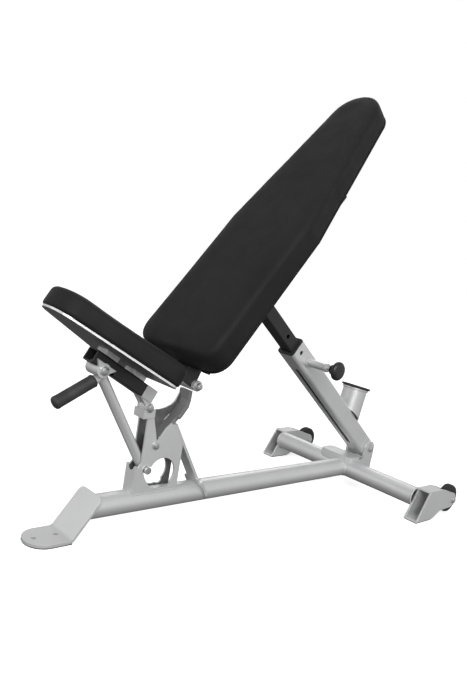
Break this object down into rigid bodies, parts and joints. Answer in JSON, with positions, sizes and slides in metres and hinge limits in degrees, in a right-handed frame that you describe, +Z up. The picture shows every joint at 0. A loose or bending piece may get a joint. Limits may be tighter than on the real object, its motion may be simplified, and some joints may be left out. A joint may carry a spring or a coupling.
{
  "type": "adjustable weight bench",
  "caption": "Incline weight bench: tilting seat on a notched prop, backrest on a telescopic strut with a pop pin, steel T-shaped base with rear transport wheels.",
  "frame": {"origin": "floor level, under the centre of the bounding box", "axes": "+Z up, -X toward the seat end, +X toward the wheel end, +Y to the bench's left"},
  "size_m": [1.3515, 0.662, 1.2055],
  "materials": {
    "silver_paint": "satin powder coat",
    "black_paint": "satin powder coat",
    "upholstery": "soft matt vinyl",
    "board": "black-faced plywood",
    "seat_plate": "satin",
    "zinc": "bright zinc",
    "rubber": "matt",
    "grip_rubber": "ribbed matt",
    "tyre": "smooth",
    "plastic": "moulded nylon"
  },
  "bodies": {
    "base": {"spine_tube": "silver_paint", "front_foot": "silver_paint", "front_foot_pad": "rubber", "cross_tube": "silver_paint", "bracket_left": "silver_paint", "bracket_right": "silver_paint", "rear_foot_pads": "rubber", "wheel_axles": "zinc", "upright_plate_left": "silver_paint", "upright_plate_right": "silver_paint", "upright_toe_plate": "silver_paint", "upright_collar": "silver_paint", "upright_brace": "silver_paint", "upright_tie_bolt": "zinc", "horn": "silver_paint", "horn_eye": "zinc", "back_pivot_bolt": "zinc", "seat_pivot_bolt": "zinc", "junction_plinth": "silver_paint", "strut_ears": "silver_paint", "strut_foot_bolt": "zinc"},
    "wheel_left": {"wheel_tyre_left": "tyre", "wheel_hub_left": "plastic"},
    "wheel_right": {"wheel_tyre_right": "tyre", "wheel_hub_right": "plastic"},
    "backrest": {"back_cushion": "upholstery", "back_board": "board", "back_rails": "black_paint", "back_hinge_sleeve": "zinc", "back_hinge_bracket": "black_paint", "back_slot_plates": "black_paint", "back_stop_beam": "black_paint", "back_pad_screws": "zinc"},
    "strut_outer": {"strut_outer_tube": "silver_paint", "strut_foot_bush": "plastic", "strut_foot_plug": "plastic", "strut_mouth_bush": "plastic", "stop_post": "silver_paint", "stop_flange": "silver_paint", "stop_cap": "rubber", "pop_housing": "zinc", "pop_spring": "zinc"},
    "pop_pin": {"pop_plunger": "zinc", "pop_knob": "plastic"},
    "strut_inner": {"strut_inner_tube": "black_paint", "strut_inner_plug": "plastic", "strut_top_pin": "zinc"},
    "seat": {"seat_cushion": "upholstery", "seat_plate": "seat_plate", "seat_beam": "black_paint", "seat_spacers": "silver_paint", "seat_end_block": "silver_paint", "seat_hinge_sleeve": "silver_paint", "seat_clevis": "black_paint", "seat_clevis_bolt": "zinc"},
    "prop": {"prop_sleeve": "silver_paint", "prop_tube": "silver_paint", "prop_pin": "zinc", "handle_rod": "zinc", "handle_grip": "grip_rubber"}
  },
  "joints": [
    {"name": "wheel_left_spin", "type": "hinge", "parent": "base", "child": "wheel_left", "pos_m": [0.6318, 0.3025, 0.049], "axis": [0, 1, 0], "continuous": true},
    {"name": "wheel_right_spin", "type": "hinge", "parent": "base", "child": "wheel_right", "pos_m": [0.6318, -0.3025, 0.049], "axis": [0, 1, 0], "continuous": true},
    {"name": "back_recline", "type": "hinge", "parent": "base", "child": "backrest", "pos_m": [-0.2562, 0, 0.362], "axis": [0, 1, 0], "range_deg": [0, 52.7]},
    {"name": "strut_swing", "type": "hinge", "parent": "base", "child": "strut_outer", "pos_m": [0.5538, 0, 0.13], "axis": [0, 1, 0], "range_deg": [-10.82, 0.2]},
    {"name": "strut_slide", "type": "slide", "parent": "strut_outer", "child": "strut_inner", "axis": [-0.7999, 0, 0.6001], "range_m": [-0.2381, 0.002]},
    {"name": "pop_pin_pull", "type": "slide", "parent": "strut_outer", "child": "pop_pin", "axis": [0, -1, 0], "range_m": [-0.012, 0], "stiffness_N_per_m": 400, "springref_m": -0.012},
    {"name": "seat_tilt", "type": "hinge", "parent": "base", "child": "seat", "pos_m": [-0.3777, 0, 0.3047], "axis": [0, 1, 0], "range_deg": [-29, 0]},
    {"name": "prop_swing", "type": "hinge", "parent": "seat", "child": "prop", "pos_m": [-0.52637, 0, 0.39911], "axis": [0, 1, 0], "range_deg": [-0.2, 15.98]}
  ],
  "couplings": [
    {"joint": "strut_swing", "follows": "back_recline", "ratio": -0.20149},
    {"joint": "strut_slide", "follows": "back_recline", "m_per_rad": -0.25669},
    {"joint": "prop_swing", "follows": "seat_tilt", "ratio": -0.5443}
  ]
}
